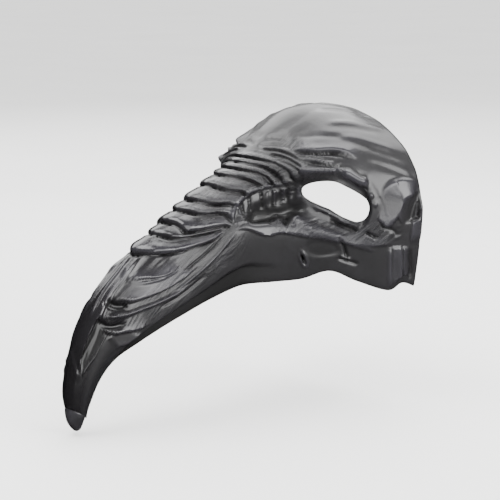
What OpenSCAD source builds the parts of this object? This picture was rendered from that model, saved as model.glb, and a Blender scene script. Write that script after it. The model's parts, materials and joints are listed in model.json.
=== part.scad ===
// Plague doctor mask: a moulded half mask whose brow runs out into a long, hooked bird beak.
// X = 0 is the plane of symmetry, +X is the wearer's left, -Y is forward and +Z is up.
// The origin lies between the wearer's eyes. Millimetres.

/* [Shell] */
// Wall of the moulded shell
wall = 2.6; // [2.2:0.1:3]
// How far the eye sockets are sunk towards the wearer
socket_depth = 8; // [6:0.5:10]

/* [Pads] */
// Thickness of the foam pads
pad_thick = 6; // [4:0.5:7]
// How far a pad's glued side is pressed into the wall
pad_bite = 0.3; // [0.2:0.1:0.5]

/* [Strap] */
// Width of the elastic band
band_w = 14; // [10:1:14]
// Thickness of the elastic band
band_t = 1.2; // [1:0.1:1.5]
// Straight length of each side of the band, from its pivot down to the bend
leg = 17; // [14:1:18]
// Radius of the bends in the band's lower corners
bend_r = 24; // [20:1:26]

/* [Strap anchors] */
// Distance of the anchors behind the eyes
anchor_y = 30; // [29:1:31]
// Height of the anchors above the eyes
anchor_z = -3; // [-4:1:-2]
// Distance from the middle of the mask to the middle of the band at its pivot
band_x = 67.5; // [67:0.1:67.8]
// Radius of the spigot that the strap turns on
spigot_r = 2.5; // [2:0.1:3]
// Gap between the spigot and the eyelet's bore
running_gap = 0.08; // [0.05:0.01:0.1]
// Radius of the anchor's plate, which is bonded inside the temple
plate_r = 8; // [7:0.5:8]
// Radius of the anchor screw's shank
screw_r = 1.5; // [1.2:0.1:1.6]

/* [Hidden] */

// The outer skin passes through this net of points [x, forward, z] on the left half. Each row is a
// station, from the rear rim to the beak's end, and runs from the dorsal line to the lower edge.
NET = [
  [[0, -40, 58], [38, -40, 50], [67, -40, 30], [78, -40, 3], [77, -40, -27], [73, -40, -54]],
  [[0, -22, 60], [37, -22, 51], [65, -24, 30], [76, -27, 3], [75, -29, -27], [71, -31, -51]],
  [[0, -3, 57], [34, -5, 48], [60, -10, 29], [72, -15, 3], [71, -19, -26], [68, -21, -55]],
  [[0, 15, 48], [30, 12, 40], [55, 7, 24], [66, -2, 1], [64, -4, -25], [59, -2, -48]],
  [[0, 29, 38], [25, 28, 32], [49, 23, 19], [54, 14, 0], [54, 12, -22], [50, 13, -41]],
  [[0, 44, 29], [18, 42, 24], [27, 38, 14], [36, 34, -2], [43, 29, -19], [39, 27, -46]],
  [[0, 60, 20], [13, 58, 17], [19, 57, 10], [25, 54, -1], [34, 48, -14], [31, 45, -47]],
  [[0, 78, 10], [12, 76, 7], [17, 74, 1], [22, 70, -6], [29, 66, -14], [26, 63, -48]],
  [[0, 96, -1], [12, 94, -4], [16, 92, -10], [20, 90, -18], [25, 87, -29], [23, 84, -54]],
  [[0, 115, -13], [11, 112, -16], [15, 111, -22], [19, 108, -30], [22, 106, -43], [21, 103, -61]],
  [[0, 134, -27], [10, 131, -29], [14, 129, -34], [18, 126, -43], [20, 123, -54], [19, 120, -68]],
  [[0, 152, -43], [9, 149, -44], [13, 147, -49], [16, 144, -56], [17, 140, -65], [16, 136, -76]],
  [[0, 167, -61], [7, 164, -61], [10, 162, -65], [13, 159, -71], [14, 155, -77], [12, 150, -85]],
  [[0, 176, -81], [6, 174, -81], [8, 172, -84], [10, 169, -88], [11, 166, -92], [9, 161, -97]],
  [[0, 180, -102], [5.5, 179, -102], [7, 177, -104], [8, 174, -107], [8, 171, -109], [6.5, 168, -112]],
  [[0, 177, -121], [4, 176, -121], [5, 175, -122], [5.5, 173, -123], [5, 171, -124], [4, 169, -124]]
];
STATIONS = len(NET) - 1;
COLUMNS = len(NET[0]) - 1;

// Stations and columns where the shell is sampled: closer together round the eye sockets
beak_end = 14.5;
shell_rows = [for (s = [0:0.5:2.5]) s, for (s = [3:0.25:4.75]) s, for (s = [5:0.5:beak_end]) s];
half_cols = [for (c = [0:0.5:1.5]) c, for (c = [2:0.25:3.25]) c, for (c = [3.5:0.5:COLUMNS]) c];
shell_cols = [for (i = [len(half_cols) - 1:-1:1]) -half_cols[i], for (c = half_cols) c];

// Eye opening: the middle and half size of its block of cells, in stations and columns, and the
// outline's radius, in block halves, every 30 degrees from straight forward round by the lower edge
eye_s = 4;
eye_c = 2.875;
eye_ds = 0.75;
eye_dc = 0.625;
EYE_R = [0.74, 0.55, 0.59, 0.76, 1.02, 1.2, 1.05, 0.85, 0.86, 1.14, 1.32, 1.16];

// Socket: its middle and radii, and the share of the radius over which it sinks to full depth
socket_s = 4;
socket_c = 2.8;
socket_rs = 1.35;
socket_rc = 1.15;
socket_slope = 0.45;

// Catmull-Rom between b and c
function blend(a, b, c, d, f) =
  0.5 * (2 * b + (c - a) * f + (2 * a - 5 * b + 4 * c - d) * f * f + (3 * b - a - 3 * c + d) * f * f * f);

// One net column at station s, with the end stations continued in a straight line
function net_row(i, j) =
  i < 0 ? 2 * NET[0][j] - NET[1][j] :
  i > STATIONS ? 2 * NET[STATIONS][j] - NET[STATIONS - 1][j] : NET[i][j];
function along(s, j) =
  let (i = min(floor(s), STATIONS - 1))
  blend(net_row(i - 1, j), net_row(i, j), net_row(i + 1, j), net_row(i + 2, j), s - i);

// The same across the columns: mirrored at the dorsal line, continued at the lower edge
function net_col(s, j) =
  j < 0 ? let (p = along(s, -j)) [-p[0], p[1], p[2]] :
  j > COLUMNS ? 2 * along(s, COLUMNS) - along(s, COLUMNS - 1) : along(s, j);
function across(s, c) =
  let (j = min(floor(c), COLUMNS - 1))
  blend(net_col(s, j - 1), net_col(s, j), net_col(s, j + 1), net_col(s, j + 2), c - j);

function smooth(t) = let (k = max(0, min(1, t))) k * k * (3 - 2 * k);
function socket(s, c) =
  socket_depth
    * smooth((1 - norm([(s - socket_s) / socket_rs, (c - socket_c) / socket_rc])) / socket_slope);

// Outer skin at station s and signed column c, in the part's frame
function skin(s, c) =
  let (p = across(s, abs(c)))
  [c < 0 ? -p[0] : p[0], socket(s, abs(c)) - p[1], p[2]];

// Outward normal of the skin, and the skin moved in by d
nudge = 0.02;
function skin_normal(s, c) =
  let (n = cross(skin(s + nudge, c) - skin(s - nudge, c), skin(s, c + nudge) - skin(s, c - nudge)))
  n / norm(n);
function inside(s, c, d) = skin(s, c) - d * skin_normal(s, c);

// Moves the border of the eye's block of cells onto the eye's outline, and fades out round it
function eye_radius(angle) =
  let (t = (angle + 360) % 360 / 30, i = floor(t), n = len(EYE_R))
  blend(EYE_R[(i + n - 1) % n], EYE_R[i % n], EYE_R[(i + 1) % n], EYE_R[(i + 2) % n], t - i);
function eye_warp(s, c) =
  let (p = (s - eye_s) / eye_ds, q = (abs(c) - eye_c) / eye_dc, m = max(abs(p), abs(q)))
  m >= 2 || m < 0.5 ? [s, c] :
  let (
    r = norm([p, q]),
    on_outline = eye_radius(atan2(q, p)) * m / r,
    f = on_outline + (1 - on_outline) * max(0, m - 1)
  )
  [eye_s + p * f * eye_ds, sign(c) * (eye_c + q * f * eye_dc)];

// A wall between two grids of the same size: outer first, then inner. keep[i][j] says which cells
// exist, and every side of a cell that has no neighbour gets closed.
module walled(outer, inner, keep) {
  rows = len(outer);
  cols = len(outer[0]);
  function cell(i, j) = i >= 0 && j >= 0 && i < rows - 1 && j < cols - 1 && keep[i][j];
  function at(layer, i, j) = (layer * rows + i) * cols + j;
  function quad(a, b, c, d) = [[a, b, c], [a, c, d]];
  points = [for (grid = [outer, inner]) for (row = grid) for (p = row) p];
  faces = [
    for (i = [0:rows - 2]) for (j = [0:cols - 2]) if (cell(i, j))
      let (ring = [[i, j], [i, j + 1], [i + 1, j + 1], [i + 1, j]],
           beside = [cell(i - 1, j), cell(i, j + 1), cell(i + 1, j), cell(i, j - 1)],
           o = [for (k = ring) at(0, k[0], k[1])],
           n = [for (k = ring) at(1, k[0], k[1])])
      each concat(
        quad(o[0], o[1], o[2], o[3]),
        quad(n[3], n[2], n[1], n[0]),
        [for (k = [0:3]) if (!beside[k]) each quad(o[(k + 1) % 4], o[k], n[k], n[(k + 1) % 4])]
      )
  ];
  polyhedron(points, faces, convexity = 12);
}

// Every point of the shell's grid, with the rear rim's inner edge kept in the rim's plane
function shell_point(s, c, d) =
  let (w = eye_warp(s, c), p = inside(w[0], w[1], d)) s == 0 ? [p[0], -NET[0][0][1], p[2]] : p;
function in_eye(a, b, mid, half) = abs((a + b) / 2 - mid) < half;

module mask_shell() color("#2b2b2d")
  walled(
    [for (s = shell_rows) [for (c = shell_cols) shell_point(s, c, 0)]],
    [for (s = shell_rows) [for (c = shell_cols) shell_point(s, c, wall)]],
    [for (i = [0:len(shell_rows) - 2]) [for (j = [0:len(shell_cols) - 2])
      !(in_eye(shell_rows[i], shell_rows[i + 1], eye_s, eye_ds)
        && in_eye(abs(shell_cols[j]), abs(shell_cols[j + 1]), eye_c, eye_dc))]]
  );

// Beak tip: a plug with a blunt hooked nose. Each ring is [forward, z, half width, half depth, lean
// of its forward side upwards]. The first three are the plug, glued into the end of the trough.
TIP_RINGS = [[174.8, -105, 3.2, 3, 25], [174.4, -109, 3.5, 3.4, 28], [173.8, -114.6, 4.2, 3.6, 30],
             [173.8, -115, 7.4, 6.1, 30], [174.3, -118.6, 6.3, 5.5, 24], [174.1, -122, 4.7, 4.4, 15],
             [173.3, -124.8, 3, 2.9, 8], [172.9, -126, 1.6, 1.6, 0]];
tip_end = [172.7, -126.5];
tip_sides = 20;

module beak_tip() color("#232325") {
  rings = len(TIP_RINGS);
  points = [
    for (r = TIP_RINGS) for (k = [0:tip_sides - 1])
      let (a = 360 * k / tip_sides, d = r[3] * sin(a))
      [r[2] * cos(a), d * cos(r[4]) - r[0], r[1] - d * sin(r[4])],
    [0, -TIP_RINGS[0][0], TIP_RINGS[0][1]],
    [0, -tip_end[0], tip_end[1]]
  ];
  top = rings * tip_sides;
  polyhedron(points, [
    for (k = [0:tip_sides - 1]) let (n = (k + 1) % tip_sides) each concat(
      [[top, n, k], [top + 1, (rings - 1) * tip_sides + k, (rings - 1) * tip_sides + n]],
      [for (r = [0:rings - 2]) let (a = r * tip_sides, b = a + tip_sides)
        each [[a + k, a + n, b + n], [a + k, b + n, b + k]]]
    )
  ]);
}

// A foam pad that follows the inside of the shell between two stations and two columns
module pad(s0, s1, c0, c1, rows, cols) {
  function s_at(i) = s0 + (s1 - s0) * i / rows;
  function c_at(j) = c0 + (c1 - c0) * j / cols;
  walled(
    [for (i = [0:rows]) [for (j = [0:cols]) inside(s_at(i), c_at(j), wall - pad_bite)]],
    [for (i = [0:rows]) [for (j = [0:cols]) inside(s_at(i), c_at(j), wall - pad_bite + pad_thick)]],
    [for (i = [0:rows - 1]) [for (j = [0:cols - 1]) true]]
  );
}
module brow_pad() color("#3a3a3c") pad(2.2, 3.4, -1, 1, 4, 10);
module nose_pad() color("#3a3a3c") pad(4.6, 5.5, -1.4, 1.4, 4, 12);
module cheek_pad() pad(3.1, 4.3, 3.9, 4.7, 5, 4);
module cheek_pad_left() color("#3a3a3c") cheek_pad();
module cheek_pad_right() color("#3a3a3c") mirror([1, 0, 0]) cheek_pad();

// Strap anchors: everything is turned about the pivot axis, and x grows towards the temple
eyelet_flange = 0.6;
eyelet_r = spigot_r + running_gap;
eyelet_wall = 0.7;
eyelet_flange_r = 5;
play = 0.3;
stack = band_t / 2 + eyelet_flange;
boss_r = 5;
boss_x = band_x + stack + play;
spigot_x = band_x - stack - play;
washer_t = 0.8;
washer_r = 5.5;
head_r = 3.6;
head_t = 2.2;
screw_reach = 4.5;
$fn = 48;

// The bonded plate lies along the temple's wall, which leans in towards the front
plate_x = 74.2;
plate_t = 1.8;
plate_bite = 0.6;
temple_lean = 13;

// A turned piece on the pivot axis, from x0 to x1
module on_axis(x0, x1, r) {
  translate([x0, anchor_y, anchor_z]) rotate([0, 90, 0]) cylinder(h = x1 - x0, r = r);
}
module strap_anchor() difference() {
  union() {
    translate([plate_x + plate_bite, anchor_y, anchor_z]) rotate([0, 90, -temple_lean])
      translate([0, 0, -plate_t - plate_bite]) cylinder(h = plate_t + plate_bite, r = plate_r);
    on_axis(boss_x, plate_x - plate_bite, boss_r);
    on_axis(spigot_x, boss_x + 1, spigot_r);
  }
  on_axis(spigot_x - 1, spigot_x + screw_reach + 0.5, screw_r + 0.05);
}
module anchor_washer() difference() {
  on_axis(spigot_x - washer_t, spigot_x, washer_r);
  on_axis(spigot_x - washer_t - 1, spigot_x + 1, screw_r + 0.2);
}
module anchor_screw() {
  head_x = spigot_x - washer_t;
  difference() {
    on_axis(head_x - head_t, head_x, head_r);
    for (turn = [0, 90])
      translate([head_x - head_t, anchor_y, anchor_z]) rotate([turn, 0, 0])
        cube([2.2, 0.9, 3.8], center = true);
  }
  on_axis(head_x - 0.1, spigot_x + screw_reach, screw_r);
}
module strap_anchor_left() color("#2b2b2d") strap_anchor();
module strap_anchor_right() color("#2b2b2d") mirror([1, 0, 0]) strap_anchor();
module anchor_washer_left() color("#b4b4b0") anchor_washer();
module anchor_washer_right() color("#b4b4b0") mirror([1, 0, 0]) anchor_washer();
module anchor_screw_left() color("#b4b4b0") anchor_screw();
module anchor_screw_right() color("#b4b4b0") mirror([1, 0, 0]) anchor_screw();

// Band: straight down from each pivot, round a bend, and across in one shallow sag
bend_angle = 80;
sag_angle = 90 - bend_angle;
bend_end = [band_x - bend_r * (1 - cos(bend_angle)), anchor_z - leg - bend_r * sin(bend_angle)];
sag_r = bend_end[0] / sin(sag_angle);
bend_steps = 10;
sag_steps = 6;

// Half of the band's outline, offset by d towards the wearer, from the pivot to the middle
function band_line(d) = [
  [band_x - d, anchor_z],
  for (k = [0:bend_steps]) let (a = bend_angle * k / bend_steps)
    [band_x - bend_r + (bend_r - d) * cos(a), anchor_z - leg - (bend_r - d) * sin(a)],
  for (k = [1:sag_steps]) let (a = sag_angle * (1 - k / sag_steps))
    [(sag_r - d) * sin(a), bend_end[1] + sag_r * cos(sag_angle) - (sag_r - d) * cos(a)]
];
function flipped(line) = [for (i = [len(line) - 2:-1:0]) [-line[i][0], line[i][1]]];
function reversed(line) = [for (i = [len(line) - 1:-1:0]) line[i]];

module elastic_strap() color("#1d1d1f") {
  under = band_line(-band_t / 2);
  over = band_line(band_t / 2);
  difference() {
    union() {
      translate([0, anchor_y + band_w / 2, 0]) rotate([90, 0, 0]) linear_extrude(band_w)
        polygon(concat(under, flipped(under), reversed(concat(over, flipped(over)))));
      for (side = [-1, 1])
        on_axis(side * band_x - band_t / 2, side * band_x + band_t / 2, band_w / 2);
    }
    for (side = [-1, 1])
      on_axis(side * band_x - band_t, side * band_x + band_t, eyelet_r + eyelet_wall);
  }
}

// Eyelet: a barrel through the band's end with a flange on each face of it
module strap_eyelet() difference() {
  union() {
    on_axis(band_x - stack, band_x + stack, eyelet_r + eyelet_wall);
    on_axis(band_x - stack, band_x - band_t / 2, eyelet_flange_r);
    on_axis(band_x + band_t / 2, band_x + stack, eyelet_flange_r);
  }
  on_axis(band_x - stack - 1, band_x + stack + 1, eyelet_r);
}
module strap_eyelet_left() color("#b4b4b0") strap_eyelet();
module strap_eyelet_right() color("#b4b4b0") mirror([1, 0, 0]) strap_eyelet();

mask_shell();
beak_tip();
brow_pad();
nose_pad();
cheek_pad_left();
cheek_pad_right();
strap_anchor_left();
strap_anchor_right();
anchor_washer_left();
anchor_washer_right();
anchor_screw_left();
anchor_screw_right();
elastic_strap();
strap_eyelet_left();
strap_eyelet_right();
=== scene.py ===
import json
import math

import bmesh
import bpy
import numpy as np
from mathutils import Matrix, Vector, noise


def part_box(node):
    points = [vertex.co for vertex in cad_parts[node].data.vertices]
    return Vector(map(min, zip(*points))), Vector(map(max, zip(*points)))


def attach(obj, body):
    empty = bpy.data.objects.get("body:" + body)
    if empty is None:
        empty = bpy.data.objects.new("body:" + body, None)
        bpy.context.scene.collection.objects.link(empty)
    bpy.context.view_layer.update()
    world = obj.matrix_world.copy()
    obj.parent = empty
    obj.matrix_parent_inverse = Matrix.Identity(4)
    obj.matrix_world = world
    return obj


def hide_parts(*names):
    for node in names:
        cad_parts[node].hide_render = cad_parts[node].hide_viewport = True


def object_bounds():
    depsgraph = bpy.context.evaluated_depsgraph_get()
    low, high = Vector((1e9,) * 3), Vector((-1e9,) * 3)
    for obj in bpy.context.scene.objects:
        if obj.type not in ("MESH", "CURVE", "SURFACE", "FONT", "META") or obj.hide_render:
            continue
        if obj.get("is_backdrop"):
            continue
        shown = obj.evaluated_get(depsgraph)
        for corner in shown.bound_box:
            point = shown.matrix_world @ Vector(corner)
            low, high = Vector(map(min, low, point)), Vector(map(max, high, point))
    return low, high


bl_info = {
    "name": "Bird Skull Mask",
    "version": (1, 0, 0),
    "blender": (4, 5, 0),
    "location": "View3D > Sidebar > Mask",
    "description": "Builds the visible pieces of a bird skull half mask around its packed frame",
    "category": "Object",
}

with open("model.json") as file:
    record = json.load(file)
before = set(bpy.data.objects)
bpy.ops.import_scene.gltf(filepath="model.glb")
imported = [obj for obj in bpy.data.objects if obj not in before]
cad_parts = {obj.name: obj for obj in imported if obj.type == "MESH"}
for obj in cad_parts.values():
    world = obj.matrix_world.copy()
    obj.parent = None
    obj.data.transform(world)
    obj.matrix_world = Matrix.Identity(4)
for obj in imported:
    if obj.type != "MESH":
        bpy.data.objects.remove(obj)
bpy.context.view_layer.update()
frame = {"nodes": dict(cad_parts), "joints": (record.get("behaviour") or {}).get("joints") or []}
MM = 0.001


# ---------------- the mask's outer surface

# Points [x, forward, z] in millimetres that the outer skin passes through on the wearer's left.
# Each row is a station, from the rear rim to the beak's end, and runs from the dorsal line to the
# lower edge. The frame's shell uses the same net.
NET = np.array([
    [(0, -40, 58), (38, -40, 50), (67, -40, 30), (78, -40, 3), (77, -40, -27), (73, -40, -54)],
    [(0, -22, 60), (37, -22, 51), (65, -24, 30), (76, -27, 3), (75, -29, -27), (71, -31, -51)],
    [(0, -3, 57), (34, -5, 48), (60, -10, 29), (72, -15, 3), (71, -19, -26), (68, -21, -55)],
    [(0, 15, 48), (30, 12, 40), (55, 7, 24), (66, -2, 1), (64, -4, -25), (59, -2, -48)],
    [(0, 29, 38), (25, 28, 32), (49, 23, 19), (54, 14, 0), (54, 12, -22), (50, 13, -41)],
    [(0, 44, 29), (18, 42, 24), (27, 38, 14), (36, 34, -2), (43, 29, -19), (39, 27, -46)],
    [(0, 60, 20), (13, 58, 17), (19, 57, 10), (25, 54, -1), (34, 48, -14), (31, 45, -47)],
    [(0, 78, 10), (12, 76, 7), (17, 74, 1), (22, 70, -6), (29, 66, -14), (26, 63, -48)],
    [(0, 96, -1), (12, 94, -4), (16, 92, -10), (20, 90, -18), (25, 87, -29), (23, 84, -54)],
    [(0, 115, -13), (11, 112, -16), (15, 111, -22), (19, 108, -30), (22, 106, -43), (21, 103, -61)],
    [(0, 134, -27), (10, 131, -29), (14, 129, -34), (18, 126, -43), (20, 123, -54), (19, 120, -68)],
    [(0, 152, -43), (9, 149, -44), (13, 147, -49), (16, 144, -56), (17, 140, -65), (16, 136, -76)],
    [(0, 167, -61), (7, 164, -61), (10, 162, -65), (13, 159, -71), (14, 155, -77), (12, 150, -85)],
    [(0, 176, -81), (6, 174, -81), (8, 172, -84), (10, 169, -88), (11, 166, -92), (9, 161, -97)],
    [(0, 180, -102), (5.5, 179, -102), (7, 177, -104), (8, 174, -107), (8, 171, -109), (6.5, 168, -112)],
    [(0, 177, -121), (4, 176, -121), (5, 175, -122), (5.5, 173, -123), (5, 171, -124), (4, 169, -124)],
], float)
LAST_STATION = len(NET) - 1
LAST_COLUMN = len(NET[0]) - 1
BEAK_END = 14.5

# The eye's block of grid cells in stations and columns, and its outline's radius every 30 degrees
EYE_MIDDLE = (4.0, 2.875)
EYE_HALF = (0.75, 0.625)
EYE_RADII = (0.74, 0.55, 0.59, 0.76, 1.02, 1.2, 1.05, 0.85, 0.86, 1.14, 1.32, 1.16)
SOCKET_MIDDLE = (4.0, 2.8)
SOCKET_RADII = (1.35, 1.15)
SOCKET_SLOPE = 0.45


def catmull(a, b, c, d, f):
    """Catmull-Rom between b and c."""
    return 0.5 * (2 * b + (c - a) * f + (2 * a - 5 * b + 4 * c - d) * f**2
                  + (3 * b - a - 3 * c + d) * f**3)


def smooth(t):
    t = np.clip(t, 0, 1)
    return t * t * (3 - 2 * t)


def along(s):
    """The six net columns at each station in s."""
    rows = np.concatenate([2 * NET[:1] - NET[1:2], NET, 2 * NET[-1:] - NET[-2:-1]])
    i = np.clip(np.floor(s).astype(int), 0, LAST_STATION - 1)
    f = (s - i)[:, None, None]
    return catmull(rows[i], rows[i + 1], rows[i + 2], rows[i + 3], f)


def socket(s, c):
    """How far the eye socket sinks the skin, from 0 to 1."""
    d = np.hypot((s - SOCKET_MIDDLE[0]) / SOCKET_RADII[0], (c - SOCKET_MIDDLE[1]) / SOCKET_RADII[1])
    return smooth((1 - d) / SOCKET_SLOPE)


def skin(s, c, depth=8.0):
    """Points of the outer skin in millimetres, +Y to the rear, for columns from 0 to 5."""
    cols = along(s)
    mirrored = cols[:, 1:2] * (-1, 1, 1)
    cols = np.concatenate([mirrored, cols, 2 * cols[:, -1:] - cols[:, -2:-1]], axis=1)
    j = np.clip(np.floor(c).astype(int), 0, LAST_COLUMN - 1)
    k = np.arange(len(s))
    f = (c - j)[:, None]
    p = catmull(cols[k, j], cols[k, j + 1], cols[k, j + 2], cols[k, j + 3], f)
    p[:, 1] = depth * socket(s, c) - p[:, 1]
    return p


def skin_normals(s, c, depth=8.0, step=0.02):
    du = skin(s + step, c, depth) - skin(s - step, c, depth)
    near = np.maximum(c - step, 0)
    dv = skin(s, near + 2 * step, depth) - skin(s, near, depth)
    n = np.cross(du, dv)
    n[c < step, 0] = 0
    return n / np.linalg.norm(n, axis=1, keepdims=True)


def eye_warp(s, c):
    """Moves the border of the eye's block of cells onto the eye's outline, and fades out round it."""
    p = (s - EYE_MIDDLE[0]) / EYE_HALF[0]
    q = (c - EYE_MIDDLE[1]) / EYE_HALF[1]
    m = np.maximum(np.abs(p), np.abs(q))
    r = np.maximum(np.hypot(p, q), 1e-6)
    t = np.degrees(np.arctan2(q, p)) % 360 / 30
    i = np.floor(t).astype(int)
    radii = np.array(EYE_RADII)
    n = len(radii)
    radius = catmull(radii[(i - 1) % n], radii[i % n], radii[(i + 1) % n], radii[(i + 2) % n], t - i)
    on_outline = radius * m / r
    f = on_outline + (1 - on_outline) * np.maximum(0, m - 1)
    f = np.where(m < 2, f, 1)
    return EYE_MIDDLE[0] + p * f * EYE_HALF[0], EYE_MIDDLE[1] + q * f * EYE_HALF[1]


# ---------------- what the sculptor cut into it

# Where the bridge's plates meet: the station of each seam at columns 0, 0.5, 1 ... 3, and how far
# the plate behind it stands proud of the next one, in millimetres
PLATE_COLUMNS = (0, 0.5, 1, 1.5, 2, 2.5, 3, 3.4)
PLATE_SEAMS = (
    ((4.06, 4.0, 3.92, 3.95, 4.2, 4.6, 4.8, 4.9), 0.3),
    ((4.6, 4.48, 4.28, 4.24, 4.45, 4.75, 4.95, 5.0), 0.8),
    ((4.98, 4.82, 4.6, 4.5, 4.65, 4.87, 5.02, 5.1), 1.1),
    ((5.32, 5.18, 4.95, 4.84, 4.87, 5.02, 5.12, 5.3), 1.2),
    ((5.68, 5.58, 5.37, 5.17, 5.1, 5.27, 5.4, 5.5), 1.3),
    ((6.15, 6.05, 5.88, 5.65, 5.43, 5.52, 5.7, 5.8), 1.5),
    ((6.7, 6.65, 6.58, 6.4, 6.08, 6.05, 6.2, 6.3), 1.7),
    ((7.48, 7.39, 7.3, 7.1, 6.8, 6.58, 6.7, 6.8), 1.8),
    ((8.0, 7.9, 7.8, 7.6, 7.28, 7.05, 7.05, 7.1), 1.8),
    ((8.52, 8.47, 8.48, 8.42, 8.15, 7.75, 7.33, 7.2), 2.0),
    ((9.05, 8.98, 8.9, 8.7, 8.4, 8.0, 7.55, 7.3), 1.5),
    ((9.8, 9.72, 9.6, 9.38, 9.12, 8.75, 8.15, 7.6), 2.2),
)
# How much prouder the plates stand than the seams say, the share of a plate's height at its rear edge,
# and the rounding of its front edge: reach in millimetres, and power
PLATE_SCALE = 1.15
PLATE_START = 0.25
PLATE_ROUND = (1.8, 1.4)
# Depth and width of the gap at each seam, and the height that a plate needs for one, in millimetres
PLATE_GAP = 1.6
PLATE_GAP_WIDE = 0.85
LOW_PLATE = 0.9
# Millimetres between stations and between columns, roughly
STATION_MM = 19
COLUMN_MM = 26
# The column of the bridge's side corner, past which the plates stop
CORNER_STATIONS = (4.5, 5.1, 5.4, 6.0, 6.5, 6.8, 7.1, 8.0, 9.5)
CORNER_COLUMNS = (1.9, 2.07, 2.07, 2.2, 2.48, 2.8, 3.3, 3.3, 2.9)

# Flat facets: corners as station, column and height in millimetres, in order round the facet
FACETS = (
    ((2.0, 2.7, 2.2), (1.25, 2.56, 1.0), (1.15, 2.95, 1.4), (1.6, 3.35, 1.8), (2.25, 3.55, 1.8),
     (2.6, 3.35, 1.2)),
    ((1.55, 3.33, 1.6), (1.12, 2.95, 1.4), (0.1, 2.82, -0.6), (0.2, 3.4, -2.6), (1.25, 3.5, 0.6)),
    ((1.9, 4.0, 1.2), (1.3, 3.98, 1.8), (1.15, 4.8, 1.8), (1.8, 4.85, 1.2)),
    ((1.2, 4.0, 1.8), (0.75, 4.0, 0.2), (0.55, 4.7, 0.0), (1.05, 4.8, 1.8)),
    ((11.9, 2.9, 0.6), (11.86, 4.1, 1.2), (11.5, 4.4, 1.4), (10.9, 4.5, 0.9), (11.3, 3.75, 0.2)),
    ((11.75, 1.1, -1.3), (11.85, 2.75, 0.7), (12.6, 2.9, 0.7), (13.3, 2.3, 0.3), (13.0, 1.2, -1.0)),
)

# Strokes: (millimetres high, millimetres wide, points as station and column). A negative height is a
# groove, and every stroke dies away towards its ends.
BROW = (
    (-1.8, 1.2, ((2.4, 1.87), (2.6, 1.7), (2.85, 1.54), (3.3, 1.37), (3.57, 1.19), (3.72, 1.0))),
    (-1.5, 1.1, ((2.75, 2.02), (3.0, 1.92), (3.32, 1.8), (3.6, 1.64), (3.9, 1.45))),
    (2.2, 1.5, ((2.9, 2.1), (3.07, 2.0), (3.5, 1.9), (3.88, 1.76), (4.19, 1.66), (4.4, 1.72))),
    (1.5, 1.2, ((3.0, 1.85), (3.3, 1.72), (3.6, 1.5), (3.9, 1.3))),
    (0.8, 1.0, ((2.8, 1.75), (3.1, 1.6), (3.4, 1.45), (3.7, 1.22))),
    (4.2, 2.6, ((3.12, 2.0), (3.02, 2.12), (2.9, 2.28), (2.72, 2.44), (2.5, 2.52))),
    (-1.8, 1.2, ((3.2, 2.12), (3.1, 2.27), (2.95, 2.43), (2.78, 2.6), (2.64, 2.72))),
    (-1.2, 1.4, ((3.0, 1.95), (2.85, 2.08), (2.68, 2.24), (2.45, 2.36))),
    (1.2, 1.3, ((2.66, 2.72), (2.6, 2.84))),
    (1.0, 1.1, ((2.6, 2.95), (2.56, 3.06))),
    (-0.9, 2.2, ((4.2, 0.05), (4.05, 0.3), (3.85, 0.55), (3.75, 0.8))),
    (-0.5, 2.6, ((3.75, 0.05), (3.6, 0.3), (3.4, 0.6))),
    (-1.2, 1.2, ((4.4, 0.2), (4.25, 0.5), (4.05, 0.8), (3.95, 1.15), (3.95, 1.5))),
    (0.8, 1.6, ((4.3, 0.15), (4.12, 0.45), (3.95, 0.72), (3.84, 1.0), (3.8, 1.3))),
    (-1.2, 1.1, ((4.42, 0.65), (4.22, 0.95), (4.12, 1.25), (4.12, 1.6))),
    (1.0, 1.2, ((4.35, 0.55), (4.14, 0.88), (4.03, 1.2), (4.03, 1.55), (4.15, 1.75))),
    (-1.0, 1.0, ((4.42, 1.0), (4.3, 1.3), (4.28, 1.6), (4.36, 1.8))),
)
DOME = (
    (-0.6, 3.2, ((2.4, 0.9), (1.7, 1.1), (1.0, 1.3), (0.1, 1.45))),
    (0.5, 2.6, ((2.2, 0.8), (1.5, 1.0), (0.9, 1.2), (0.1, 1.35))),
    (-0.6, 3.4, ((2.5, 1.35), (2.0, 1.55), (1.4, 1.8), (0.7, 2.0), (0.1, 2.2))),
    (0.5, 2.8, ((2.3, 1.3), (1.8, 1.45), (1.2, 1.68), (0.5, 1.9))),
    (-0.5, 2.6, ((1.8, 0.35), (1.2, 0.5), (0.6, 0.7), (0.05, 0.9))),
    (0.4, 2.4, ((1.6, 0.3), (1.0, 0.45), (0.4, 0.68))),
    (-0.5, 2.6, ((1.2, 0.05), (0.7, 0.2), (0.1, 0.4))),
    (-0.5, 2.2, ((3.2, 0.75), (2.8, 0.95), (2.4, 1.2), (2.1, 1.3))),
    (-0.6, 2.2, ((2.2, 2.05), (1.6, 2.2), (1.0, 2.35), (0.4, 2.5))),
)
TEMPLE = (
    (1.4, 1.6, ((2.0, 3.95), (2.0, 4.3), (1.95, 4.7), (1.9, 4.95))),
    (-1.8, 1.5, ((1.72, 4.2), (1.62, 4.5), (1.5, 4.85))),
    (1.2, 1.6, ((1.45, 4.0), (1.3, 4.3), (1.15, 4.7))),
    (-1.2, 1.4, ((0.75, 4.0), (0.6, 4.3), (0.45, 4.6), (0.5, 4.9))),
)
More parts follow.
